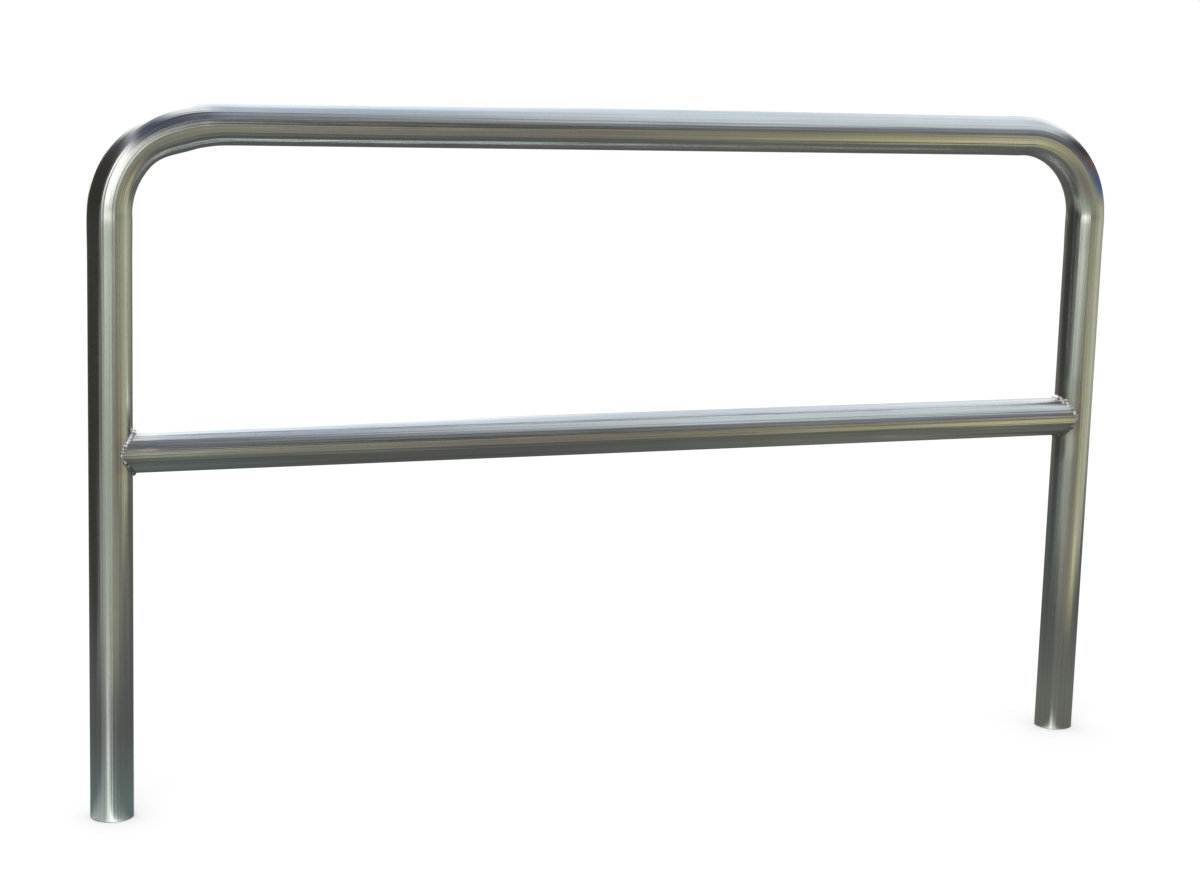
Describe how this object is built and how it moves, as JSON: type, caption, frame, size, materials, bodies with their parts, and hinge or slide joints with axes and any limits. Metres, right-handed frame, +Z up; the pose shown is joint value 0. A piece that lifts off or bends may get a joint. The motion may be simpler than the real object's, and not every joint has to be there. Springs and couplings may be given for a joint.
{
  "type": "tubular hoop barrier",
  "caption": "Free-standing stainless steel hoop barrier: a round tube bent into a wide inverted U, with a straight mid rail welded between its legs.",
  "frame": {"origin": "centre of the left leg's cut end, at ground level", "axes": "+X along the barrier from the left leg to the right leg, +Y from the front to the back, +Z up"},
  "size_m": [1.6207, 0.063, 1],
  "materials": {
    "stainless_tube": "satin stainless steel, ground along the tube",
    "weld_metal": "bright rippled weld"
  },
  "bodies": {
    "root": {"hoop_tube": "stainless_tube", "mid_rail": "stainless_tube", "left_weld_bead": "weld_metal", "right_weld_bead": "weld_metal"}
  },
  "joints": []
}
